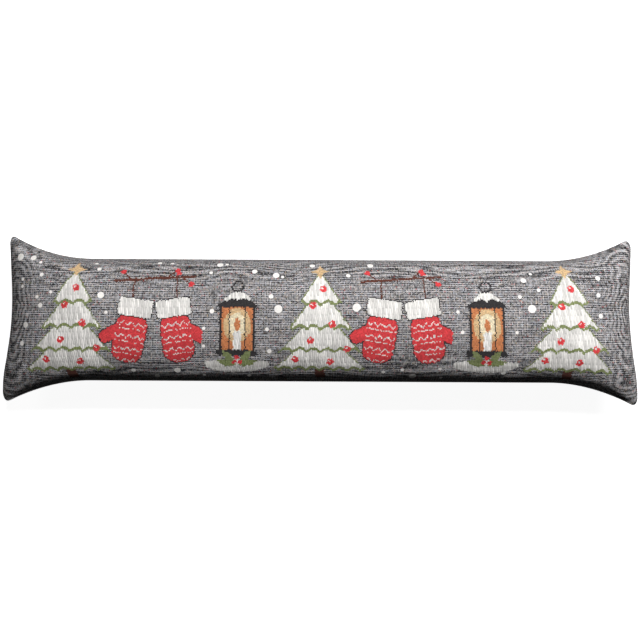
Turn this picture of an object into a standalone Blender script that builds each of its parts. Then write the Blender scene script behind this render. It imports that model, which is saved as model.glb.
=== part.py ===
"""Draught excluder: a long, firmly filled cushion that lies on its back with its woven face up.

Two long panels are sewn together along their rim, turned and filled. The fill rounds the
cover, which draws its sides in between the four corners and leaves each corner as a flat ear.
X runs along the length, Y across the face and Z out of it. The cushion rests on Z = 0.
"""

import math

import bmesh
import bpy

# Driving dimensions, in metres.
LENGTH = 0.800
MIDDLE_HALF_WIDTH = 0.0768
CROWN_ABOVE_SEAM = 0.058
BELLY_BELOW_SEAM = 0.053
FLATTENED = 0.007
DRAW_IN_LENGTH = 0.110
CORNER_RADIUS = 0.008

# Shape of the curves: how the sides are drawn in, and how full the back is beside the face.
DRAW_IN_POWER = 2.2
BACK_FULLNESS = 0.8

# The seam: two turned edges side by side, a little proud of the panels.
SEAM_HALF_THICKNESS = 0.0012
SEAM_RIDGE = 0.0012
PINCH_DEPTH = 0.0016
PINCH_WIDTH = 0.007

# How far the seam sinks from the middle of the length to the ends.
SEAM_HEIGHT = BELLY_BELOW_SEAM - FLATTENED
END_DROOP = 0.006

# The middle line of the face runs slightly downhill to the right.
MIDDLE_LINE_SHIFT = -0.0010
MIDDLE_LINE_SLOPE = -0.0040

CORNERS = {
    # (end, long side): (distance of the ear from the middle line, droop of the ear)
    (-1, 1): (0.1068, 0.006),
    (1, 1): (0.1036, 0.002),
    (-1, -1): (0.1040, 0.009),
    (1, -1): (0.1048, 0.005),
}

END_INSETS = (
    # (place across from ear to ear, how far the left end lies inside the length, the right end)
    (-1.0, 0.0000, 0.0000),
    (-0.7, 0.0017, 0.0031),
    (-0.4, 0.0051, 0.0065),
    (-0.1, 0.0089, 0.0095),
    (0.2, 0.0111, 0.0108),
    (0.6, 0.0113, 0.0093),
    (1.0, 0.0096, 0.0076),
)

LUMPS = (
    # (height, waves along the length, waves across, phase) of the fill's slow unevenness
    (0.0012, 2.3, 0.5, 0.4),
    (0.0009, 4.1, 1.0, 2.1),
    (0.0006, 7.3, 1.5, 4.0),
)

CREASES = (
    # (end, place across, distance from the end, depth, half length, half width, turn in degrees)
    (-1, 0.62, 0.052, 0.0030, 0.034, 0.010, -12.0),
    (-1, -0.66, 0.060, 0.0024, 0.036, 0.010, 14.0),
    (1, 0.64, 0.056, 0.0028, 0.034, 0.010, 12.0),
    (1, -0.60, 0.066, 0.0022, 0.038, 0.011, -12.0),
    (-1, 0.10, 0.030, 0.0016, 0.020, 0.009, 4.0),
    (1, 0.02, 0.034, 0.0016, 0.022, 0.009, -6.0),
)

# One pressed crease runs along the face just below its upper long side, and dies out at the ears.
LONG_CREASE_PLACE = 0.0605
LONG_CREASE_DEPTH = 0.0012
LONG_CREASE_HALF_WIDTH = 0.0045
LONG_CREASE_HALF_LENGTH = 0.350
LONG_CREASE_FADE_POWER = 8

# Puckers where the end seams gather the panels.
PUCKER_DEPTH = 0.0011
PUCKER_REACH = 0.016
PUCKER_WAVES = 3.5

# The belly turns onto the floor over this height instead of at an edge.
FLOOR_EASE = 0.003

# Grid of each panel.
END_STEPS = 16
END_STEP_SPAN = 0.125
END_STEP_GROWTH = 1.5
MIDDLE_STEPS = 40
CROSS_STEPS = 15
CROSS_STEP_GROWTH = 1.3

COVER_COLOUR = (0.36, 0.345, 0.34, 1.0)
COVER_ROUGHNESS = 0.9


def end_inset(end, place):
    """How far the short end lies inside the length: a smooth curve through END_INSETS."""
    column = 1 if end < 0 else 2
    rows = [(row[0], row[column]) for row in END_INSETS]
    last = len(rows) - 1
    index = 0
    while index < last - 1 and place > rows[index + 1][0]:
        index += 1
    (p0, v0), (p1, v1) = rows[index], rows[index + 1]
    before, after = rows[max(index - 1, 0)], rows[min(index + 2, last)]
    share = (place - p0) / (p1 - p0)
    slope0 = (v1 - before[1]) / (p1 - before[0]) * (p1 - p0)
    slope1 = (after[1] - v0) / (after[0] - p0) * (p1 - p0)
    square, cube = share**2, share**3
    return (
        (2 * cube - 3 * square + 1) * v0
        + (cube - 2 * square + share) * slope0
        + (3 * square - 2 * cube) * v1
        + (cube - square) * slope1
    )


def stations():
    """Distances from the left end, closer together near both ends."""
    near = [END_STEP_SPAN * (k / END_STEPS) ** END_STEP_GROWTH for k in range(END_STEPS)]
    span = LENGTH - 2 * END_STEP_SPAN
    middle = [END_STEP_SPAN + span * k / MIDDLE_STEPS for k in range(MIDDLE_STEPS + 1)]
    return near + middle + [LENGTH - d for d in reversed(near)]


def cross_places():
    """Places across a panel from -1 to 1, closer together near both long seams."""
    half = [1 - (1 - k / CROSS_STEPS) ** CROSS_STEP_GROWTH for k in range(CROSS_STEPS + 1)]
    return [-p for p in reversed(half)] + half[1:]


def share_left(near):
    """1 at an end of the cushion, falling to 0 where its section is full."""
    return 1 - min(near, DRAW_IN_LENGTH) / DRAW_IN_LENGTH


def end_fullness(near):
    """How full the section is at this distance from the nearer end, from 0 to 1."""
    return math.sqrt(1 - share_left(near) ** 2)


def half_width(near, end, side):
    """Distance from the middle line to the long seam, drawn in between the ears."""
    reach = CORNERS[end, side][0]
    return MIDDLE_HALF_WIDTH + (reach - MIDDLE_HALF_WIDTH) * share_left(near) ** DRAW_IN_POWER


def rounded_corner(from_end, from_side):
    """Bends the square corner of the grid to a quarter circle."""
    if from_end >= CORNER_RADIUS or from_side >= CORNER_RADIUS:
        return from_end, from_side
    p = 1 - from_end / CORNER_RADIUS
    q = 1 - from_side / CORNER_RADIUS
    return (
        CORNER_RADIUS * (1 - p * math.sqrt(1 - q * q / 2)),
        CORNER_RADIUS * (1 - q * math.sqrt(1 - p * p / 2)),
    )


def crease_depth(end, near, across):
    """Depth of the soft creases at one place of the face."""
    depth = 0.0
    for crease_end, place, centre, deepest, half_length, half_crease, turn in CREASES:
        if crease_end != end:
            continue
        along = near - centre
        over = (across - place) * MIDDLE_HALF_WIDTH
        angle = math.radians(turn)
        u = (along * math.cos(angle) + over * math.sin(angle)) / half_length
        v = (over * math.cos(angle) - along * math.sin(angle)) / half_crease
        depth += deepest * math.exp(-u * u - v * v)
    return depth


def long_crease_depth(x, y):
    """Depth of the crease that runs along the face."""
    off = (y - LONG_CREASE_PLACE - MIDDLE_LINE_SLOPE * x) / LONG_CREASE_HALF_WIDTH
    fade = (x / LONG_CREASE_HALF_LENGTH) ** LONG_CREASE_FADE_POWER
    return LONG_CREASE_DEPTH * math.exp(-off * off - fade)


def lump_height(x, across):
    """Slow unevenness of the fill under the cover."""
    return sum(
        height * math.sin(2 * math.pi * waves * x / LENGTH + phase) * math.cos(math.pi * cross * across)
        for height, waves, cross, phase in LUMPS
    )


def pucker(near, across):
    """Ripple of the cover where the end seam gathers it. It starts at nothing in the seam itself."""
    fade = math.exp(-near / PUCKER_REACH) * min(1.0, near / PUCKER_REACH) * (1 - across**2)
    return PUCKER_DEPTH * fade * math.cos(2 * math.pi * PUCKER_WAVES * across)


def above_floor(z):
    """Flattens the belly on Z = 0, with a soft turn."""
    if z >= FLOOR_EASE:
        return z
    return max(0.0, z + FLOOR_EASE) ** 2 / (4 * FLOOR_EASE)


def panel_point(distance, across, face):
    """One point of a panel. face is 1 for the woven face and -1 for the back."""
    end = -1 if distance < LENGTH / 2 else 1
    side = 1 if across >= 0 else -1
    near = min(distance, LENGTH - distance)
    full = end_fullness(near)
    fade = 1 - full
    width = half_width(near, end, side)

    place = fade * across + full * math.sin(across * math.pi / 2)
    near, from_side = rounded_corner(near, (1 - abs(place)) * width)
    place = side * (1 - from_side / width)

    half_length = LENGTH / 2 - SEAM_RIDGE
    left = end_inset(-1, place) - half_length
    right = half_length - end_inset(1, place)
    share = near / LENGTH if end < 0 else 1 - near / LENGTH
    x = left + (right - left) * share
    y = MIDDLE_LINE_SHIFT + MIDDLE_LINE_SLOPE * x + place * width

    bulge = math.cos(across * math.pi / 2) ** (1 + fade)
    if face > 0:
        crown = CROWN_ABOVE_SEAM + lump_height(x, across) - crease_depth(end, near, across)
        rise = crown * full * bulge - long_crease_depth(x, y)
    else:
        rise = BELLY_BELOW_SEAM * full * bulge**BACK_FULLNESS
    rise = max(0.0, rise + pucker(near, across))

    seam = SEAM_HEIGHT - END_DROOP * fade - CORNERS[end, side][1] * fade * across**2
    y -= side * PINCH_DEPTH * math.exp(-from_side / PINCH_WIDTH) * full
    return x, y, above_floor(seam + face * (SEAM_HALF_THICKNESS + rise))


def rim_of(rows, columns):
    """Grid places round the rim, once round, starting at the lower left ear."""
    last_row, last_column = rows - 1, columns - 1
    return (
        [(i, 0) for i in range(last_row)]
        + [(last_row, j) for j in range(last_column)]
        + [(i, last_column) for i in range(last_row, 0, -1)]
        + [(0, j) for j in range(last_column, 0, -1)]
    )


def seam_ridge(front, back, rim):
    """The seam's outermost line: midway between the two panels and a little further out."""
    ridge = []
    for k, place in enumerate(rim):
        before, after = front[rim[k - 1]], front[rim[(k + 1) % len(rim)]]
        along = (after[0] - before[0], after[1] - before[1])
        size = math.hypot(*along)
        out = (along[1] / size, -along[0] / size)
        a, b = front[place], back[place]
        ridge.append((a[0] + out[0] * SEAM_RIDGE, a[1] + out[1] * SEAM_RIDGE, (a[2] + b[2]) / 2))
    return ridge


def filled_cover():
    """The whole cushion as one closed mesh: front panel, seam and back panel."""
    distances, places = stations(), cross_places()
    rows, columns = len(distances), len(places)
    front, back = {}, {}
    for i, distance in enumerate(distances):
        for j, across in enumerate(places):
            front[i, j] = panel_point(distance, across, 1)
            back[i, j] = panel_point(distance, across, -1)
    rim = rim_of(rows, columns)
    ridge = seam_ridge(front, back, rim)

    bm = bmesh.new()
    front_verts = {place: bm.verts.new(point) for place, point in front.items()}
    back_verts = {place: bm.verts.new(point) for place, point in back.items()}
    ridge_verts = [bm.verts.new(point) for point in ridge]
    for i in range(rows - 1):
        for j in range(columns - 1):
            corners = ((i, j), (i + 1, j), (i + 1, j + 1), (i, j + 1))
            bm.faces.new([front_verts[c] for c in corners])
            bm.faces.new([back_verts[c] for c in reversed(corners)])
    for k, place in enumerate(rim):
        following = rim[(k + 1) % len(rim)]
        a, b = ridge_verts[k], ridge_verts[(k + 1) % len(rim)]
        bm.faces.new([a, b, front_verts[following], front_verts[place]])
        bm.faces.new([b, a, back_verts[place], back_verts[following]])

    mesh = bpy.data.meshes.new("filled_cover")
    bm.to_mesh(mesh)
    bm.free()
    centre_on_origin(mesh)
    mesh.shade_smooth()
    return mesh


def centre_on_origin(mesh):
    """Puts the middle of the cushion's box over the origin. The base stays on Z = 0."""
    for axis in (0, 1):
        values = [v.co[axis] for v in mesh.vertices]
        middle = (min(values) + max(values)) / 2
        for v in mesh.vertices:
            v.co[axis] -= middle


def woven_material():
    """Grey woven cover cloth."""
    material = bpy.data.materials.new("woven_cover")
    material.use_nodes = True
    shader = material.node_tree.nodes["Principled BSDF"]
    shader.inputs["Base Color"].default_value = COVER_COLOUR
    shader.inputs["Roughness"].default_value = COVER_ROUGHNESS
    shader.inputs["Metallic"].default_value = 0.0
    return material


def clear_scene():
    for obj in list(bpy.data.objects):
        bpy.data.objects.remove(obj)


def build():
    clear_scene()
    cushion = bpy.data.objects.new("filled_cover", filled_cover())
    cushion.data.materials.append(woven_material())
    bpy.context.scene.collection.objects.link(cushion)


build()
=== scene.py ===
"""Draught excluder as photographed: a long filled cushion of jacquard cloth, seen square onto its face.

The cover is two even grids of cloth over the form of the CAD solid, with ears, ends and section
fitted more closely to the photo. A cloth simulation settles them as two flat panels under
pressure, which gives the small wrinkles. Shader nodes weave the cloth: they count threads in its
own coordinates, so the weave follows the form round the edges and ears.
"""

import math

import bpy
import numpy as np
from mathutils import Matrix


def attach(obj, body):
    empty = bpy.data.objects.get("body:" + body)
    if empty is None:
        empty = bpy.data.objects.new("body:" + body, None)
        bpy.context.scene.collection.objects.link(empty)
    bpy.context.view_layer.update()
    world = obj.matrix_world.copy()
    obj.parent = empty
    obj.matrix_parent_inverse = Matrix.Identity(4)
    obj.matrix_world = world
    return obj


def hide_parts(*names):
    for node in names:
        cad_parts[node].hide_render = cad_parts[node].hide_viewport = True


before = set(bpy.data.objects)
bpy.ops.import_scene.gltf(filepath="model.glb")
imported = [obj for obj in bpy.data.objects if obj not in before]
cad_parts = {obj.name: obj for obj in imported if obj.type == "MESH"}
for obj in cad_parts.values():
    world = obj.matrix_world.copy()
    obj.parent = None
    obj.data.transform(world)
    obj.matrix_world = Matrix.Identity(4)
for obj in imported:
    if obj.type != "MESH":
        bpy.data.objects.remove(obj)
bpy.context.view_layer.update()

# The form, in metres.
LENGTH = 0.800
MIDDLE_HALF_WIDTH = 0.0767
CROWN_ABOVE_SEAM = 0.058
BELLY_BELOW_SEAM = 0.053
FLATTENED = 0.007
DRAW_IN_LENGTH = 0.110
SECTION_POWERS = {
    # panel: (power of the cosine in its section at the middle, at the ears)
    1: (0.74, 0.64),
    -1: (0.80, 0.52),
}
SEAM_HALF_THICKNESS = 0.0012
PINCH_DEPTH = 0.0016
PINCH_WIDTH = 0.007
SEAM_HEIGHT = BELLY_BELOW_SEAM - FLATTENED
END_DROOP = 0.006

# The middle line lies a little low and turned, as in the photo. The underside eases into its flat
# resting patch over the last height.
MIDDLE_LINE_SHIFT = -0.0003
MIDDLE_LINE_SLOPE = -0.0053
FLOOR_EASE = 0.003

CORNERS = (
    # (end, long side, distance of the ear from the middle line, droop, radius, power of the draw-in)
    (-1, 1, 0.1064, 0.006, 0.0100, 2.1),
    (1, 1, 0.1052, 0.002, 0.0130, 2.0),
    (-1, -1, 0.1054, 0.009, 0.0120, 1.88),
    (1, -1, 0.1064, 0.005, 0.0100, 1.88),
)

END_INSETS = np.array([
    # (place across from ear to ear, how far the left end lies inside the length, the right end)
    (-1.0, -0.0003, 0.0008),
    (-0.7, 0.0010, 0.0022),
    (-0.4, 0.0064, 0.0070),
    (-0.1, 0.0109, 0.0106),
    (0.2, 0.0126, 0.0122),
    (0.6, 0.0113, 0.0109),
    (1.0, 0.0089, 0.0094),
])

LUMPS = (
    # (height, waves along the length, waves across, phase) of the fill's slow unevenness
    (0.0012, 2.3, 0.5, 0.4),
    (0.0009, 4.1, 1.0, 2.1),
    (0.0006, 7.3, 1.5, 4.0),
)

CREASES = (
    # (end, place across, distance from the end, depth, half length, half width, turn in degrees)
    (-1, 0.62, 0.052, 0.0030, 0.034, 0.010, -12.0),
    (-1, -0.66, 0.060, 0.0024, 0.036, 0.010, 14.0),
    (1, 0.64, 0.056, 0.0028, 0.034, 0.010, 12.0),
    (1, -0.60, 0.066, 0.0022, 0.038, 0.011, -12.0),
    (-1, 0.10, 0.030, 0.0016, 0.020, 0.009, 4.0),
    (1, 0.02, 0.034, 0.0016, 0.022, 0.009, -6.0),
)

LONG_CREASE_PLACE = 0.0605
LONG_CREASE_DEPTH = 0.0012
LONG_CREASE_HALF_WIDTH = 0.0045
LONG_CREASE_HALF_LENGTH = 0.350
LONG_CREASE_FADE_POWER = 8
PUCKER_DEPTH = 0.0011
PUCKER_REACH = 0.016
PUCKER_WAVES = 3.5

# Each panel's grid of cloth, about 5 mm apart. One subdivision follows.
COLUMNS = 160
ROWS = 42
EVENING_PASSES = 12

# The panels as they are cut, which is also the size that the weave is counted over.
CUT_LENGTH = 0.814
CUT_WIDTH = 0.214

# How far the turned edges stand out at the seam, and the groove between them.
FOLD_OUT = 0.0016
FOLD_APART = 0.0008
GROOVE_OUT = 0.0002

# The simulation, and the part of its result that is kept: the wrinkles, not the slow swelling.
# They are full from these distances on from an end seam and from a long seam.
SIM_FRAMES = 34
SIM_PRESSURE = 4.0
WRINKLE_WIDTH = 0.020
MOST_WRINKLE = 0.0014
WRINKLES_FULL = (0.020, 0.070)


# Form.


def smooth_curve(places, values, at):
    """A smooth curve through a few points."""
    slopes = np.gradient(values, places)
    k = np.clip(np.searchsorted(places, at, side="right") - 1, 0, len(places) - 2)
    width = places[k + 1] - places[k]
    t = (at - places[k]) / width
    return (
        (2 * t**3 - 3 * t**2 + 1) * values[k]
        + (t**3 - 2 * t**2 + t) * width * slopes[k]
        + (3 * t**2 - 2 * t**3) * values[k + 1]
        + (t**3 - t**2) * width * slopes[k + 1]
    )


def corner_sizes(end, side):
    """Reach, droop, radius and power of the ear that each point is nearest to."""
    sizes = np.zeros((4, *end.shape))
    for corner_end, corner_side, *corner in CORNERS:
        sizes[:, (end == corner_end) & (side == corner_side)] = np.array(corner)[:, None]
    return sizes


def crease_depth(end, near, across):
    """How deep the creases from the ears and ends are at each point of the face."""
    depth = np.zeros(near.shape)
    for crease_end, place, centre, deepest, half_length, half_crease, turn in CREASES:
        along = near - centre
        over = (across - place) * MIDDLE_HALF_WIDTH
        angle = math.radians(turn)
        u = (along * math.cos(angle) + over * math.sin(angle)) / half_length
        v = (over * math.cos(angle) - along * math.sin(angle)) / half_crease
        depth += np.where(end == crease_end, deepest * np.exp(-u * u - v * v), 0)
    return depth


def lump_height(x, across):
    """How much the uneven fill adds to the crown."""
    return sum(
        height * np.sin(2 * math.pi * waves * x / LENGTH + phase) * np.cos(math.pi * cross * across)
        for height, waves, cross, phase in LUMPS
    )


def panel_surface(distance, across, face):
    """Points of a panel, for arrays of distances from the left end and places across."""
    end = np.where(distance < LENGTH / 2, -1, 1)
    side = np.where(across >= 0, 1, -1)
    near = np.minimum(distance, LENGTH - distance)
    share_left = 1 - np.minimum(near, DRAW_IN_LENGTH) / DRAW_IN_LENGTH
    full = np.sqrt(1 - share_left**2)
    fade = 1 - full
    reach, droop, radius, power = corner_sizes(end, side)
    width = MIDDLE_HALF_WIDTH + (reach - MIDDLE_HALF_WIDTH) * share_left**power

    place = fade * across + full * np.sin(across * math.pi / 2)
    from_side = (1 - np.abs(place)) * width
    p = np.clip(1 - near / radius, 0, 1)
    q = np.clip(1 - from_side / radius, 0, 1)
    near = near + radius * p * (1 - np.sqrt(1 - q * q / 2))
    from_side = from_side + radius * q * (1 - np.sqrt(1 - p * p / 2))
    place = side * (1 - from_side / width)

    half_length = LENGTH / 2 - FOLD_OUT
    left = smooth_curve(END_INSETS[:, 0], END_INSETS[:, 1], place) - half_length
    right = half_length - smooth_curve(END_INSETS[:, 0], END_INSETS[:, 2], place)
    share = np.where(end < 0, near, LENGTH - near) / LENGTH
    x = left + (right - left) * share
    y = MIDDLE_LINE_SHIFT + MIDDLE_LINE_SLOPE * x + place * width

    middle, ears = SECTION_POWERS[face]
    bulge = np.cos(across * math.pi / 2).clip(0) ** (middle + (ears - middle) * fade)
    if face > 0:
        crown = CROWN_ABOVE_SEAM + lump_height(x, across) - crease_depth(end, near, across)
        off = (y - LONG_CREASE_PLACE - MIDDLE_LINE_SLOPE * x) / LONG_CREASE_HALF_WIDTH
        off_end = (x / LONG_CREASE_HALF_LENGTH) ** LONG_CREASE_FADE_POWER
        rise = crown * full * bulge - LONG_CREASE_DEPTH * np.exp(-off * off - off_end)
    else:
        rise = BELLY_BELOW_SEAM * full * bulge
    gather = np.exp(-near / PUCKER_REACH) * np.minimum(1, near / PUCKER_REACH) * (1 - across**2)
    rise += PUCKER_DEPTH * gather * np.cos(2 * math.pi * PUCKER_WAVES * across)

    seam = SEAM_HEIGHT - END_DROOP * fade - droop * fade * across**2
    y = y - side * PINCH_DEPTH * np.exp(-from_side / PINCH_WIDTH) * full
    z = seam + face * (SEAM_HALF_THICKNESS + rise.clip(0))
    z = np.where(z < FLOOR_EASE, (z + FLOOR_EASE).clip(0) ** 2 / (4 * FLOOR_EASE), z)
    return np.stack([x, y, z], axis=-1)


def respaced(fields, points, axis):
    """Slides the grid along its own lines until its points lie at equal lengths of cloth."""
    fields = [np.moveaxis(field, axis, 0).copy() for field in fields]
    points = np.moveaxis(points, axis, 0)
    steps = np.linalg.norm(np.diff(points, axis=0), axis=2)
    run = np.vstack([np.zeros(steps.shape[1]), np.cumsum(steps, axis=0)])
    share = np.linspace(0, 1, len(run))
    for line in range(run.shape[1]):
        at = share * run[-1, line]
        for field in fields:
            field[:, line] = np.interp(at, run[:, line], field[:, line])
    return [np.moveaxis(field, 0, axis) for field in fields]


def even_panel(face):
    """A panel as an even grid of cloth."""
    distance, across = np.meshgrid(
        np.linspace(0, LENGTH, COLUMNS + 1), np.linspace(-1, 1, ROWS + 1), indexing="ij"
    )
    for _ in range(EVENING_PASSES):
        for axis in (0, 1):
            points = panel_surface(distance, across, face)
            distance, across = respaced((distance, across), points, axis)
    return panel_surface(distance, across, face)


def flat_panel():
    """Where each grid point lies on the cut panel, before sewing."""
    u, v = np.meshgrid(
        np.linspace(-CUT_LENGTH / 2, CUT_LENGTH / 2, COLUMNS + 1),
        np.linspace(-CUT_WIDTH / 2, CUT_WIDTH / 2, ROWS + 1),
        indexing="ij",
    )
    return np.stack([u, v], axis=-1)


# Mesh.


def grid_faces(index):
    """Quads of a grid of point numbers, facing up."""
    corners = (index[:-1, :-1], index[1:, :-1], index[1:, 1:], index[:-1, 1:])
    return np.stack([c.ravel() for c in corners], axis=1)


def rim_places():
    """Grid places once round the rim, starting at the lower left ear."""
    return (
        [(i, 0) for i in range(COLUMNS)]
        + [(COLUMNS, j) for j in range(ROWS)]
        + [(i, ROWS) for i in range(COLUMNS, 0, -1)]
        + [(0, j) for j in range(ROWS, 0, -1)]
    )


def outward(points):
    """For each point of a closed loop, the level direction out of it."""
    along = np.roll(points, -1, axis=0) - np.roll(points, 1, axis=0)
    out = np.stack([along[:, 1], -along[:, 0]], axis=1)
    return out / np.linalg.norm(out, axis=1, keepdims=True)


def sewn_at_rim(front, back):
    """Point numbers of both panels where they share their rim, and all points."""
    front_index = np.arange(front[..., 0].size).reshape(front.shape[:2])
    back_index = front_index.copy()
    inner = back_index[1:-1, 1:-1]
    inner[:] = front_index.size + np.arange(inner.size).reshape(inner.shape)
    joined = front.copy()
    for i, j in rim_places():
        joined[i, j] = (front[i, j] + back[i, j]) / 2
    points = np.vstack([joined.reshape(-1, 3), back[1:-1, 1:-1].reshape(-1, 3)])
    return front_index, back_index, points


def blurred(grid, width):
    """The grid smoothed over this width of cloth, both ways."""
    for axis, spacing in ((0, CUT_LENGTH / COLUMNS), (1, CUT_WIDTH / ROWS)):
        reach = int(3 * width / spacing)
        weights = np.exp(-0.5 * (np.arange(-reach, reach + 1) * spacing / width) ** 2)
        weights /= weights.sum()
        padding = [(0, 0)] * 3
        padding[axis] = (reach, reach)
        padded = np.pad(grid, padding, mode="reflect")
        size = grid.shape[axis]
        grid = sum(w * np.take(padded, range(k, k + size), axis) for k, w in enumerate(weights))
    return grid


def wrinkles_of(moved):
    """The small part of a movement: no slow swelling, nothing at the seam, and never over the most."""
    small = moved - blurred(moved, WRINKLE_WIDTH)
    length = np.linalg.norm(small, axis=2, keepdims=True)
    small = small * MOST_WRINKLE / np.sqrt(MOST_WRINKLE**2 + length**2)
    u, v = np.moveaxis(flat_panel(), -1, 0)
    from_seams = (CUT_LENGTH / 2 - np.abs(u), CUT_WIDTH / 2 - np.abs(v))
    for from_seam, full_at in zip(from_seams, WRINKLES_FULL):
        share = np.clip(from_seam / full_at, 0, 1)[..., None]
        small = small * share * share * (3 - 2 * share)
    return small


def settled(front, back):
    """Wrinkles of both panels, from cloth that is cut flat, sewn and put under pressure."""
    front_index, back_index, points = sewn_at_rim(front, back)
    mesh = bpy.data.meshes.new("settling")
    faces = np.vstack([grid_faces(front_index), grid_faces(back_index)[:, ::-1]])
    mesh.from_pydata(points.tolist(), [], faces.tolist())
    cloth = bpy.data.objects.new("settling", mesh)
    bpy.context.scene.collection.objects.link(cloth)

    cloth.shape_key_add(name="Basis")
    cut = cloth.shape_key_add(name="cut")
    for index, side in ((front_index, 1), (back_index, -1)):
        for number, (u, v) in zip(index.ravel(), flat_panel().reshape(-1, 2)):
            cut.data[number].co = (u, v, side * SEAM_HALF_THICKNESS / 2)

    modifier = cloth.modifiers.new("cloth", "CLOTH")
    settings = modifier.settings
    settings.rest_shape_key = cut
    settings.quality = 5
    settings.mass = 0.3
    settings.tension_stiffness = 30
    settings.compression_stiffness = 15
    settings.shear_stiffness = 8
    settings.bending_stiffness = 1.0
    settings.tension_damping = settings.compression_damping = settings.shear_damping = 20
    settings.bending_damping = 5
    settings.air_damping = 8
    settings.use_pressure = True
    settings.uniform_pressure_force = SIM_PRESSURE
    settings.effector_weights.gravity = 0
    modifier.collision_settings.use_collision = False
    modifier.point_cache.frame_start = 1
    modifier.point_cache.frame_end = SIM_FRAMES
    for number in range(1, SIM_FRAMES + 1):
        bpy.context.scene.frame_set(number)

    graph = bpy.context.evaluated_depsgraph_get()
    after = np.empty(len(mesh.vertices) * 3)
    cloth.evaluated_get(graph).to_mesh().vertices.foreach_get("co", after)
    moved = after.reshape(-1, 3) - points
    bpy.context.scene.frame_set(1)
    bpy.data.objects.remove(cloth)
    return wrinkles_of(moved[front_index]), wrinkles_of(moved[back_index])


def cover_object(front, back, materials):
    """The sewn cover: both panels, and between them two turned edges with a groove."""
    rim = rim_places()
    number = np.arange(front[..., 0].size).reshape(front.shape[:2])
    rim_numbers = np.array([number[place] for place in rim])
    front_rim = np.array([front[place] for place in rim])
    back_rim = np.array([back[place] for place in rim])
    middle = (front_rim + back_rim) / 2
    out = outward(middle[:, :2])
    loops = []
    for reach, lift in ((FOLD_OUT, FOLD_APART), (GROOVE_OUT, 0), (FOLD_OUT, -FOLD_APART)):
        loops.append(middle + np.column_stack([out * reach, np.full(len(rim), lift)]))
    points = np.vstack([front.reshape(-1, 3), back.reshape(-1, 3), *loops])

    chain = [rim_numbers]
    for k in range(len(loops)):
        chain.append(2 * number.size + k * len(rim) + np.arange(len(rim)))
    chain.append(rim_numbers + number.size)
    strips = []
    for upper, lower in zip(chain, chain[1:]):
        strips.append(np.stack([lower, np.roll(lower, -1), np.roll(upper, -1), upper], axis=1))
    faces = np.vstack([grid_faces(number), grid_faces(number + number.size)[:, ::-1], *strips])
    panel_faces = COLUMNS * ROWS
    # The lower two of the four strips are the back's cloth.
    is_back = np.zeros(len(faces), int)
    is_back[panel_faces : 2 * panel_faces] = 1
    is_back[2 * panel_faces + 2 * len(rim) :] = 1

    flat = flat_panel()
    flat_rim = np.array([flat[place] for place in rim])
    flat_out = outward(flat_rim)
    on_cloth = np.vstack(
        [flat.reshape(-1, 2), flat.reshape(-1, 2)]
        + [flat_rim + flat_out * step for step in (FOLD_OUT, 2 * FOLD_OUT, FOLD_OUT)]
    )

    mesh = bpy.data.meshes.new("cushion_cover")
    mesh.from_pydata(points.tolist(), [], faces.tolist())
    for material in materials:
        mesh.materials.append(material)
    mesh.polygons.foreach_set("material_index", is_back)
    layer = mesh.uv_layers.new(name="cloth")
    layer.uv.foreach_set("vector", on_cloth[faces.ravel()].astype(np.float32).ravel())
    mesh.shade_smooth()
    cover = bpy.data.objects.new("cushion_cover", mesh)
    bpy.context.scene.collection.objects.link(cover)
    subdivide(cover)
    return cover


def subdivide(cover):
    """One applied subdivision."""
    cover.modifiers.new("finer", "SUBSURF").levels = 1
    graph = bpy.context.evaluated_depsgraph_get()
    finer = bpy.data.meshes.new_from_object(cover.evaluated_get(graph))
    coarse = cover.data
    cover.modifiers.clear()
    cover.data = finer
    bpy.data.meshes.remove(coarse)
    finer.name = "cushion_cover"


# Shader arithmetic.


class Field:
    """A number that the shader works out at each point of the cloth, with the usual operators."""

    def __init__(self, tree, socket):
        self.tree = tree
        self.socket = socket

    def math(self, operation, *values):
        node = self.tree.nodes.new("ShaderNodeMath")
        node.operation = operation
        for entry, value in zip(node.inputs, values):
            if isinstance(value, Field):
                self.tree.links.new(value.socket, entry)
            else:
                entry.default_value = value
        return Field(self.tree, node.outputs[0])

    def __add__(self, other):
        return self.math("ADD", self, other)

    def __radd__(self, other):
        return self.math("ADD", other, self)

    def __sub__(self, other):
        return self.math("SUBTRACT", self, other)

    def __rsub__(self, other):
        return self.math("SUBTRACT", other, self)

    def __mul__(self, other):
        return self.math("MULTIPLY", self, other)

    def __truediv__(self, other):
        return self.math("DIVIDE", self, other)

    def __mod__(self, other):
        return self.math("FLOORED_MODULO", self, other)

    def __abs__(self):
        return self.math("ABSOLUTE", self)

    def floor(self):
        return self.math("FLOOR", self)

    def root(self):
        return self.math("SQRT", self)

    def sine(self):
        return self.math("SINE", self)

    def least(self, other):
        return self.math("MINIMUM", self, other)

    def most(self, other):
        return self.math("MAXIMUM", self, other)

    def below(self, limit):
        """1 where this is below the limit, and 0 elsewhere."""
        return self.math("LESS_THAN", self, limit)

    def above(self, limit):
        return self.math("GREATER_THAN", self, limit)


def distance_between(x, y):
    return (x * x + y * y).root()


def disc(x, y, radius):
    """Each shape gives a distance: below 0 inside it and above 0 outside."""
    return distance_between(x, y) - radius


def block(x, y, half_width, half_height, radius=0.0):
    """A rectangle with rounded corners."""
    over_x = abs(x) - (half_width - radius)
    over_y = abs(y) - (half_height - radius)
    if not radius:
        return over_x.most(over_y)
    corner = distance_between(over_x.most(0), over_y.most(0))
    return corner + over_x.most(over_y).least(0) - radius


def bar(x, y, start, stop, radius):
    """A straight bar with round ends."""
    run_x, run_y = stop[0] - start[0], stop[1] - start[1]
    share = ((x - start[0]) * run_x + (y - start[1]) * run_y) / (run_x**2 + run_y**2)
    share = share.most(0).least(1)
    return disc(x - start[0] - share * run_x, y - start[1] - share * run_y, radius)


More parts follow.
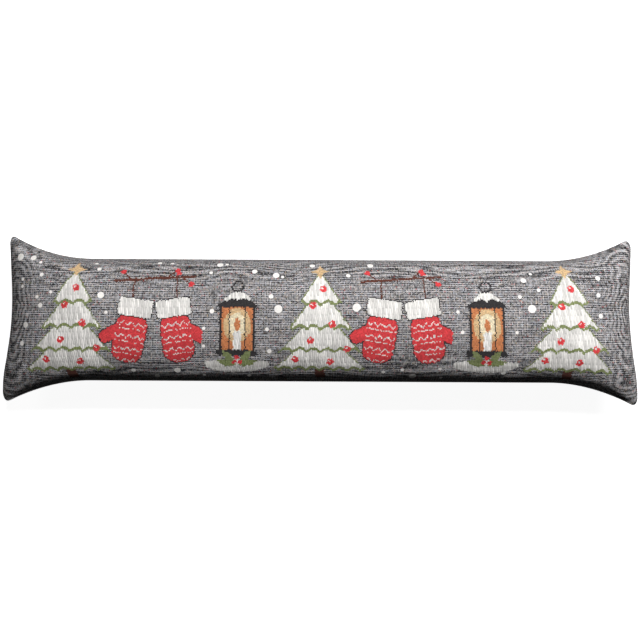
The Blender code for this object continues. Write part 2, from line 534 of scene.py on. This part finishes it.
def leaf(x, y, half_length, half_width):
    """A pointed leaf along x."""
    radius = (half_length**2 + half_width**2) / (2 * half_width)
    return disc(x, abs(y) + (radius - half_width), radius)


def scalloped(x, pitch, depth):
    """A row of round lobes along x, from 0 between them to this depth."""
    return abs((x * (math.pi / pitch)).sine()) * depth


def turned(x, y, degrees):
    """The coordinates seen from a frame that is turned this far to the left."""
    c, s = math.cos(math.radians(degrees)), math.sin(math.radians(degrees))
    return x * c + y * s, y * c - x * s


def mixed(under, mask, over):
    """One paint over another where the mask is 1. A paint is a colour's socket or four numbers."""
    tree = mask.tree
    node = tree.nodes.new("ShaderNodeMix")
    node.data_type = "RGBA"
    # A mix node has its colours at entries 6 and 7 and its result at 2.
    tree.links.new(mask.socket, node.inputs[0])
    for entry, paint in ((node.inputs[6], under), (node.inputs[7], over)):
        if isinstance(paint, tuple):
            entry.default_value = paint
        else:
            tree.links.new(paint, entry)
    return node.outputs[2]


def shaded(paint, amount):
    """A paint of four numbers, made lighter or darker by a field."""
    node = amount.tree.nodes.new("ShaderNodeVectorMath")
    node.operation = "SCALE"
    node.inputs[0].default_value = paint[:3]
    amount.tree.links.new(amount.socket, node.inputs["Scale"])
    return node.outputs[0]


def placed(x, y):
    """A vector of two fields, for the texture nodes."""
    node = x.tree.nodes.new("ShaderNodeCombineXYZ")
    x.tree.links.new(x.socket, node.inputs[0])
    x.tree.links.new(y.socket, node.inputs[1])
    return node.outputs[0]


def random_of(x, y):
    """Three even random numbers for each pair of whole numbers."""
    tree = x.tree
    noise = tree.nodes.new("ShaderNodeTexWhiteNoise")
    noise.noise_dimensions = "2D"
    tree.links.new(placed(x, y), noise.inputs["Vector"])
    split = tree.nodes.new("ShaderNodeSeparateColor")
    tree.links.new(noise.outputs["Color"], split.inputs[0])
    return [Field(tree, output) for output in split.outputs]


def random_along(x, seed):
    """Three even random numbers for each whole number, from a series of their own."""
    return random_of(x, x * 0 + seed)


def slow_noise(x, y, size, detail=2.0):
    """Smooth noise from 0 to 1, with spots about this large."""
    tree = x.tree
    noise = tree.nodes.new("ShaderNodeTexNoise")
    noise.noise_dimensions = "2D"
    noise.inputs["Scale"].default_value = 1 / size
    noise.inputs["Detail"].default_value = detail
    tree.links.new(placed(x, y), noise.inputs["Vector"])
    return Field(tree, noise.outputs["Fac"])


# Weave. Sizes in metres. A pair is (least, how much chance or relief adds). Where relief adds, the
# colour is darker towards the gaps between threads: painted shade, and in the ground partly the dark
# binder.

ROW_PITCH = 0.0014
STITCH = 0.0015
COLUMN_SHIFT = 0.0003
MIDDLE_TONE = 0.34
ROW_CONTRAST = (0.10, 0.14)
COLUMN_CONTRAST = (0.03, 0.06)
CHECK_CONTRAST = 0.07
CHANCE_CONTRAST = 0.50
SLOW_SIZE = 0.060
SLOW_CONTRAST = 0.12
STREAK_LENGTH = 0.014
STREAK_STAGGER = 0.37
STREAK_CONTRAST = 0.24
# Less white in the ground towards the gaps between threads: partly the dark binder showing, partly
# painted shade.
TONE_BINDER_AND_GAP_SHADE = (0.74, 0.30)
DYE_BY_CHANCE = (0.74, 0.42)
# Dyed stitches darker towards the gaps between threads: painted shade.
GAP_SHADE_ON_DYES = (0.80, 0.24)

# Lines like wood grain: beside the long seams, and in nested rings at the ends.
GRAIN_PITCH = 0.0062
GRAIN_CONTRAST = 0.24
GRAIN_WARP = 6.0
GRAIN_WARP_SIZE = 0.030
GRAIN_WARP_STRETCH = 0.22
RINGS_AT = (0.383, 0.012)
RINGS_STRETCH = 0.42
RINGS_STRENGTH = 1.1

# Where those lines fade in or out: (start, how much further on the ramp reaches 1).
BESIDE_FROM = (0.034, 0.026)
BESIDE_UNTIL = (0.100, -0.020)
RINGS_FROM = (0.335, 0.040)

# Long white threads that lie on top of the motifs.
FLOAT_PITCH = 0.0022
FLOAT_LENGTH = 0.015
FLOAT_SLANT = 0.10
FLOAT_SWAY = 0.006
FLOAT_HEIGHT = 1.4
FLOAT_BY_STREAK = (0.66, 0.38)
# The long white threads darker towards their ends and sides: painted shade.
GAP_SHADE_ON_FLOATS = (0.82, 0.22)
FLOAT_BY_CHANCE = (0.92, 0.10)
DOT_BY_CHANCE = (0.92, 0.14)

# The motifs' edges go by whole threads.
STEP = 0.00125
RAGGED = 0.0016

# The yarn's surface.
BUMP_STRENGTH = 0.7
BUMP_DEPTH = 0.0005
YARN = {
    "Roughness": 0.88,
    "Specular IOR Level": 0.18,
    "Sheen Weight": 0.04,
    "Sheen Roughness": 0.55,
}


def colour(red, green, blue):
    """A colour as it looks on a screen, from 0 to 255, made linear."""
    return tuple(((c / 255 + 0.055) / 1.055) ** 2.4 for c in (red, green, blue)) + (1.0,)


DARK_YARN = colour(34, 34, 37)
COOL_YARN = colour(212, 217, 226)
WARM_YARN = colour(229, 218, 211)
PALETTE = {
    "snow": colour(239, 236, 232),
    "red": colour(217, 67, 71),
    "green": colour(128, 138, 92),
    "ochre": colour(212, 180, 136),
    "orange": colour(200, 126, 82),
    "brown": colour(96, 56, 46),
    "black": colour(52, 50, 52),
    "cream": colour(236, 222, 190),
}
FLECKS = (
    # (share of the stitches, colour)
    (0.012, "red"),
    (0.008, "green"),
    (0.012, "ochre"),
    (0.012, "brown"),
)
FLECK_STRENGTH = 0.35


def threads(along, over, pitch, stitch, stagger):
    """Threads beside each other, in stitches: three random numbers for each one, and its relief."""
    row = (over / pitch).floor()
    run = along / stitch + row * stagger
    cell = run.floor()
    chance = random_of(cell, row)
    off_thread = (over / pitch - row) * 2 - 1
    off_stitch = (run - cell) * 2 - 1
    ends = off_stitch * off_stitch
    relief = (1 - off_thread * off_thread) * (1 - ends * ends)
    return row, cell, chance, relief


def varied(share, pair):
    """The least of a pair, and what it adds for a share from 0 to 1."""
    return share * pair[1] + pair[0]


# Motifs: layers of (distance, name in the palette), the lowest first. Each is drawn in metres
# round its own middle. The repeat runs along the length, and each motif ends before an end seam.

REPEAT = 0.300
MITTENS_AT = 0.100
LANTERN_AT = -0.100
REPEAT_START = -0.142
MOTIFS_END = 0.362
MITTENS_END = 0.335

OUTLINE = 0.0011

# Fir tree. The snow on each tier leaves a green rim at its sides and below.
FIR_TIERS = (
    # (top, base, half width), the lowest first
    (-0.003, -0.062, 0.060),
    (0.021, -0.036, 0.051),
    (0.045, -0.008, 0.040),
    (0.067, 0.021, 0.028),
)
BAUBLES = (
    (-0.030, -0.044),
    (0.012, -0.047),
    (0.032, -0.030),
    (-0.012, -0.020),
    (0.014, 0.000),
    (-0.009, 0.022),
    (0.004, 0.043),
)
BAUBLE_RADIUS = 0.0043
GLINT = 0.0012
DRIP_PITCH = 0.0165
DRIP_DEPTH = 0.0045
RIM_AT_SIDES = 0.0016
RIM_BELOW = 0.0038
STAR_HEIGHT = 0.068
STAR_REACH = 0.012
STAR_TAPER = 2.6


def fir_tree(x, y):
    """A fir tree under snow, with red baubles."""
    layers = [(block(x, y + 0.066, 0.006, 0.009), "brown")]
    for top, base, half in FIR_TIERS:
        drip = scalloped(x, DRIP_PITCH, DRIP_DEPTH) + base
        slope = abs(x) - (top - y) * (half / (top - base))
        layers.append((slope.most(drip - y), "green"))
        layers.append(((slope + RIM_AT_SIDES).most(drip + RIM_BELOW - y), "snow"))
    for at_x, at_y in BAUBLES:
        layers.append((disc(x - at_x, y - at_y, BAUBLE_RADIUS), "red"))
        layers.append((disc(x - at_x + GLINT, y - at_y - GLINT, GLINT), "snow"))
    star_x, star_y = abs(x), abs(y - STAR_HEIGHT)
    arms = (star_x * STAR_TAPER + star_y).least(star_x + star_y * STAR_TAPER) - STAR_REACH
    layers.append((arms, "ochre"))
    return layers


# Mittens. A band of zigzag and a plain line repeat down each hand.
MITTEN_AT = (0.0265, -0.006)
MITTEN_LEAN = 9
BAND_PITCH = 0.0150
ZIGZAG_PITCH = 0.0092
ZIGZAG_SLOPE = 0.9
TWIGS = (
    # (start, stop, radius)
    ((-0.050, 0.050), (0.047, 0.058), 0.0017),
    ((-0.030, 0.051), (-0.042, 0.064), 0.0011),
    ((0.012, 0.055), (0.024, 0.067), 0.0011),
    ((0.030, 0.057), (0.041, 0.048), 0.0011),
)
TWIG_BERRIES = ((-0.042, 0.064), (0.024, 0.067), (0.043, 0.047), (0.026, 0.0625))


def berries(x, y, places, radius):
    return [(disc(x - at_x, y - at_y, radius), "red") for at_x, at_y in places]


def mittens(x, y):
    """A pair of knitted mittens that hang from a twig."""
    px, py = turned(abs(x) - MITTEN_AT[0], y - MITTEN_AT[1], MITTEN_LEAN)
    hand = block(px, py + 0.014, 0.0185, 0.031, 0.017)
    thumb = bar(px, py, (0.012, -0.004), (0.0285, -0.016), 0.0078)
    shape = hand.least(thumb)
    zigzag = abs((px + 0.05) % ZIGZAG_PITCH - ZIGZAG_PITCH / 2)
    band = (py + zigzag * ZIGZAG_SLOPE) % BAND_PITCH
    stripe = abs(band - 0.0050) - 0.0013
    line = abs((py + 0.0007) % BAND_PITCH - 0.0125) - 0.0009
    cuff = block(px, py - 0.023, 0.0205, 0.0105, 0.003)
    layers = [
        (bar(abs(x), y, (0.0270, 0.020), (0.0255, 0.055), 0.0008), "brown"),
        (shape - OUTLINE, "black"),
        (shape, "red"),
        (hand.most(stripe.least(line)) + 0.0006, "snow"),
        (cuff - OUTLINE, "black"),
        (cuff, "snow"),
    ]
    for twig in TWIGS:
        layers.append((bar(x, y, *twig), "brown"))
    return layers + berries(x, y, TWIG_BERRIES, 0.0034)


# Lantern, with a sprig of holly in the snow at its foot.
ROOF_FLARE = 1.25
HOLLY_LEAVES = (
    # (place along, place across, lean in degrees) on the right, and their mirror images
    (0.013, -0.049, 16),
    (0.010, -0.041, 52),
)
HOLLY_BERRIES = ((-0.0035, -0.0475), (0.0035, -0.0480), (0.0, -0.0415))


def lantern(x, y):
    """A lantern in the snow with a candle, on a sprig of holly."""
    body = block(x, y + 0.006, 0.0200, 0.0270)
    flame = leaf(*turned(x, y + 0.001, 90), 0.0085, 0.0036)
    roof = (abs(x) - (0.041 - y) * ROOF_FLARE).most(0.020 - y).most(y - 0.037)
    snow_edge = scalloped(x, 0.013, 0.003) + 0.0275
    cap = (abs(x) - (0.043 - y) * ROOF_FLARE).most(snow_edge - y)
    layers = [
        (abs(disc(x, y - 0.046, 0.0066)) - OUTLINE, "black"),
        (body, "orange"),
        (disc(x, (y + 0.002) * 0.8, 0.0165), "ochre"),
        (disc(x, (y + 0.001) * 0.75, 0.0105), "cream"),
        (block(x, y + 0.021, 0.0048, 0.0120), "snow"),
        (flame, "orange"),
        (abs(body) - 0.0014, "black"),
        (block(abs(x) - 0.0095, y + 0.006, 0.0007, 0.0270), "black"),
        (roof, "black"),
        (cap.most(y - 0.0385), "snow"),
        (block(x, y + 0.036, 0.0245, 0.0034), "black"),
        (disc(x * 0.32, y + 0.051, 0.0125).most(y + 0.0435 + abs(x) * 0.10), "snow"),
    ]
    for side in (-1, 1):
        for at_x, at_y, lean in HOLLY_LEAVES:
            lx, ly = turned(x - side * at_x, y - at_y, side * lean)
            prickles = scalloped(lx, 0.0055, 0.0013)
            layers.append((leaf(lx, ly, 0.0125, 0.0052) + prickles, "green"))
    return layers + berries(x, y, HOLLY_BERRIES, 0.0030)


def motif_layers(u, v):
    """Every motif of one repeat, in its place. No motif runs on under an end seam."""
    x = (u - REPEAT_START) % REPEAT + REPEAT_START
    layers = []
    for motif, at_x, at_y, end in (
        (fir_tree, 0, -0.004, MOTIFS_END),
        (lantern, LANTERN_AT, -0.004, MOTIFS_END),
        (mittens, MITTENS_AT, -0.002, MITTENS_END),
    ):
        inside = abs(u).below(end)
        layers += [(shape.below(0) * inside, key) for shape, key in motif(x - at_x, v - at_y)]
    return layers


# Snow dots: the least radius and what chance adds, the last places of their middles along and
# across the cloth, and how clear of the motifs those stay.
DOT_SPACING = 0.0235
DOT_LOOSENESS = 0.85
DOTS_LEFT_OUT = 0.15
DOT_RADII = (0.0020, 0.0030)
DOTS_END = (0.388, 0.080)
DOT_CLEARANCE = 0.005


def from_motifs(u, v):
    """How far a place is from the nearest motif, each taken as a plain outline."""
    x = (u - REPEAT_START) % REPEAT + REPEAT_START
    fir = abs(x) * 0.91 + (v - 0.078) * 0.42
    pair = block(x - MITTENS_AT, v - 0.004, 0.050, 0.060)
    lamp = block(x - LANTERN_AT, v - 0.002, 0.024, 0.056)
    drift = block(x - LANTERN_AT, v + 0.054, 0.040, 0.008)
    return fir.least(pair).least(lamp).least(drift)


def snow_dots(u, v):
    """Scattered snow: a dot or none in each of many loose places, clear of motifs and seams."""
    tree = u.tree
    cells = tree.nodes.new("ShaderNodeTexVoronoi")
    cells.voronoi_dimensions = "2D"
    cells.inputs["Scale"].default_value = 1 / DOT_SPACING
    cells.inputs["Randomness"].default_value = DOT_LOOSENESS
    tree.links.new(placed(u, v), cells.inputs["Vector"])
    split = tree.nodes.new("ShaderNodeSeparateColor")
    tree.links.new(cells.outputs["Color"], split.inputs[0])
    size = Field(tree, split.outputs[0])
    shown = Field(tree, split.outputs[1])
    place = tree.nodes.new("ShaderNodeSeparateXYZ")
    tree.links.new(cells.outputs["Position"], place.inputs[0])
    at_u, at_v = Field(tree, place.outputs[0]), Field(tree, place.outputs[1])
    inside = abs(at_v).below(DOTS_END[1]) * abs(at_u).below(DOTS_END[0])
    clear = inside * from_motifs(at_u, at_v).above(DOT_CLEARANCE)
    radius = varied(size * size, DOT_RADII) * shown.above(DOTS_LEFT_OUT) * clear
    return Field(tree, cells.outputs["Distance"]) * DOT_SPACING - radius


def stepped(u, v):
    """Coordinates that change by whole threads, with each thread a little early or late."""
    column, row = (u / STEP).floor(), (v / STEP).floor()
    late_u = random_along(row, seed=0)[0] - 0.5
    late_v = random_along(column, seed=7)[1] - 0.5
    return (column + 0.5) * STEP + late_u * RAGGED, (row + 0.5) * STEP + late_v * RAGGED


def ramp(place, start, width):
    """0 before the start and 1 from this width further on. Below 0, the width is to the other side."""
    return ((place - start) / width).most(0).least(1)


def strained(u, v):
    """Lines like wood grain, from -1 to 1, where the cloth strains round the long edges and ends."""
    beside = ramp(abs(v), *BESIDE_FROM).least(ramp(abs(v), *BESIDE_UNTIL))
    ends = ramp(abs(u), *RINGS_FROM)
    warp = slow_noise(u * GRAIN_WARP_STRETCH, v, GRAIN_WARP_SIZE) * GRAIN_WARP
    level = (((v / GRAIN_PITCH + warp) * (2 * math.pi)).sine() - 0.25) * beside * (1 - ends)
    rings = distance_between(abs(u) - RINGS_AT[0], (v - RINGS_AT[1]) * RINGS_STRETCH)
    upright = ((rings / GRAIN_PITCH + warp * 0.5) * (2 * math.pi)).sine() * ends
    return level + upright * RINGS_STRENGTH


def ground_tone(u, v, row, cell, chance, slow):
    """How much white shows in the ground: rows, weak columns, checks, streaks and chance."""
    more = random_of(cell + 0.5, row)
    streaks = random_of((u / STREAK_LENGTH + row * STREAK_STAGGER).floor(), row + 0.5)[0]
    rows = (row % 2 - 0.5) * varied(chance[0], ROW_CONTRAST) * 2
    columns = (cell % 2 - 0.5) * varied(more[0], COLUMN_CONTRAST) * 2
    checks = ((row + cell) % 2 - 0.5) * (CHECK_CONTRAST * 2)
    uneven = (more[1] - 0.5) * CHANCE_CONTRAST + (slow - 0.5) * SLOW_CONTRAST
    return rows + columns + checks + uneven + (streaks - 0.5) * STREAK_CONTRAST + MIDDLE_TONE


def with_flecks(woven, chance, dyes_with_gap_shade):
    """The ground with a few stitches of the dyed yarns."""
    limit = 0.0
    for share, key in FLECKS:
        fleck = chance.above(limit) * chance.below(limit + share) * FLECK_STRENGTH
        woven = mixed(woven, fleck, dyes_with_gap_shade[key])
        limit += share
    return woven


def with_motifs(woven, relief, u, v, chance, slow, dyes_with_gap_shade):
    """The ground under snow dots and motifs, and the relief with the long white threads."""
    slanted = u + v * FLOAT_SLANT + (slow - 0.5) * FLOAT_SWAY
    _, _, streak, float_relief = threads(v, slanted, FLOAT_PITCH, FLOAT_LENGTH, stagger=0.5)
    # The white threads' brightness: random streaks and chance, with painted shade towards each float's
    # ends and sides.
    float_tone_and_gap_shade = varied(streak[0], FLOAT_BY_STREAK) * varied(float_relief, GAP_SHADE_ON_FLOATS)
    float_tone_and_gap_shade = float_tone_and_gap_shade * varied(chance[0], FLOAT_BY_CHANCE)
    yarns = {**dyes_with_gap_shade, "snow": shaded(PALETTE["snow"], float_tone_and_gap_shade)}
    dot = shaded(PALETTE["snow"], varied(chance[0], DOT_BY_CHANCE))
    woven = mixed(woven, snow_dots(u, v).below(0), dot)
    snowy = None
    for mask, key in motif_layers(*stepped(u, v)):
        woven = mixed(woven, mask, yarns[key])
        if key == "snow":
            snowy = mask if snowy is None else snowy.most(mask)
    return woven, relief + (float_relief * FLOAT_HEIGHT - relief) * snowy


def woven_material(name, is_face):
    """Jacquard cloth: black and white ground threads, and on the face motifs and grain lines."""
    material = bpy.data.materials.new(name)
    material.use_nodes = True
    tree = material.node_tree
    shader = tree.nodes["Principled BSDF"]
    cloth = tree.nodes.new("ShaderNodeUVMap")
    cloth.uv_map = "cloth"
    split = tree.nodes.new("ShaderNodeSeparateXYZ")
    tree.links.new(cloth.outputs[0], split.inputs[0])
    u, v = Field(tree, split.outputs[0]), Field(tree, split.outputs[1])

    slow = slow_noise(u, v, SLOW_SIZE, detail=3.0)
    shifted = u + random_along((v / ROW_PITCH).floor(), seed=3)[0] * COLUMN_SHIFT
    row, cell, chance, relief = threads(shifted, v, ROW_PITCH, STITCH, stagger=0)
    tone = ground_tone(u, v, row, cell, chance, slow)
    if is_face:
        tone = tone + strained(u, v) * GRAIN_CONTRAST
    # The ground's white falls off towards the gaps between threads: partly the dark binder showing
    # there, partly painted shade of the yarn's relief.
    tone = tone.most(0).least(1) * varied(relief, TONE_BINDER_AND_GAP_SHADE)
    woven = mixed(DARK_YARN, tone, mixed(COOL_YARN, chance[1], WARM_YARN))
    # Painted shade: every dyed yarn darker towards the gaps between threads, on top of its random
    # mottle.
    mottle_and_gap_shade = varied(chance[1], DYE_BY_CHANCE) * varied(relief, GAP_SHADE_ON_DYES)
    dyes_with_gap_shade = {key: shaded(value, mottle_and_gap_shade) for key, value in PALETTE.items()}
    woven = with_flecks(woven, chance[2], dyes_with_gap_shade)
    height = relief
    if is_face:
        woven, height = with_motifs(woven, relief, u, v, chance, slow, dyes_with_gap_shade)

    tree.links.new(woven, shader.inputs["Base Color"])
    for entry, value in YARN.items():
        shader.inputs[entry].default_value = value
    bump = tree.nodes.new("ShaderNodeBump")
    bump.inputs["Strength"].default_value = BUMP_STRENGTH
    bump.inputs["Distance"].default_value = BUMP_DEPTH
    tree.links.new(height.socket, bump.inputs["Height"])
    tree.links.new(bump.outputs[0], shader.inputs["Normal"])
    return material


# Studio. The face fills the photograph's width at the height of the seam.

SHOWN_WIDTH = 0.8014
CAMERA_AT = (-0.0006, 0.0006, 3.0)
FLOOR_HALF = 14.0
FLOOR_BELOW = 0.0003
FLOOR_GREY = 0.50
FLOOR_GLOW = 0.93
AMBIENT = 0.024
LIGHTS = (
    # (name, place, length, width, watts)
    ("key", (1.05, 0.93, 1.51), 3.0, 0.36, 73),
    ("left", (-1.6, 0.3, 0.9), 0.5, 0.5, 3),
    ("table", (0, 0, -1.2), 2.4, 0.4, 4),
)


def add_camera():
    """Square above the face, as in the photo."""
    data = bpy.data.cameras.new("camera")
    data.lens = data.sensor_width * (CAMERA_AT[2] - SEAM_HEIGHT) / SHOWN_WIDTH
    camera = bpy.data.objects.new("camera", data)
    camera.location = CAMERA_AT
    bpy.context.scene.collection.objects.link(camera)
    bpy.context.scene.camera = camera


def add_floor():
    """A plain pale floor that glows a little, and that the table light shines through."""
    mesh = bpy.data.meshes.new("floor")
    corners = [(x * FLOOR_HALF, y * FLOOR_HALF, 0) for x, y in ((-1, -1), (1, -1), (1, 1), (-1, 1))]
    mesh.from_pydata(corners, [], [(0, 1, 2, 3)])
    material = bpy.data.materials.new("floor")
    material.use_nodes = True
    shader = material.node_tree.nodes["Principled BSDF"]
    shader.inputs["Base Color"].default_value = (FLOOR_GREY, FLOOR_GREY, FLOOR_GREY, 1)
    shader.inputs["Roughness"].default_value = 0.9
    shader.inputs["Emission Color"].default_value = (1, 1, 1, 1)
    shader.inputs["Emission Strength"].default_value = FLOOR_GLOW
    mesh.materials.append(material)
    floor = bpy.data.objects.new("floor", mesh)
    floor.location.z = -FLOOR_BELOW
    floor.visible_diffuse = False
    floor.visible_glossy = False
    floor.visible_shadow = False
    bpy.context.scene.collection.objects.link(floor)


def add_light(name, location, length, width, power):
    """A soft light with its length along the cushion, tipped to face the cushion's middle line."""
    data = bpy.data.lights.new(name, "AREA")
    data.shape = "RECTANGLE"
    data.size = length
    data.size_y = width
    data.energy = power
    light = bpy.data.objects.new(name, data)
    light.location = location
    light.rotation_euler.x = -math.atan2(location[1], location[2])
    bpy.context.scene.collection.objects.link(light)


def add_studio():
    add_floor()
    for light in LIGHTS:
        add_light(*light)
    world = bpy.data.worlds.new("studio")
    world.use_nodes = True
    background = world.node_tree.nodes["Background"]
    background.inputs["Color"].default_value = (1, 1, 1, 1)
    background.inputs["Strength"].default_value = AMBIENT
    bpy.context.scene.world = world
    bpy.context.scene.view_settings.view_transform = "Standard"


def main():
    front = even_panel(1)
    back = even_panel(-1)
    front_wrinkles, back_wrinkles = settled(front, back)
    front += front_wrinkles
    back += back_wrinkles
    # No wrinkle of the underside goes through the floor.
    back[..., 2] = back[..., 2].clip(0)
    face_cloth = woven_material("woven_face", is_face=True)
    back_cloth = woven_material("woven_back", is_face=False)
    cover = cover_object(front, back, (face_cloth, back_cloth))
    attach(cover, "root")
    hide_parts("filled_cover")
    add_camera()
    add_studio()


main()
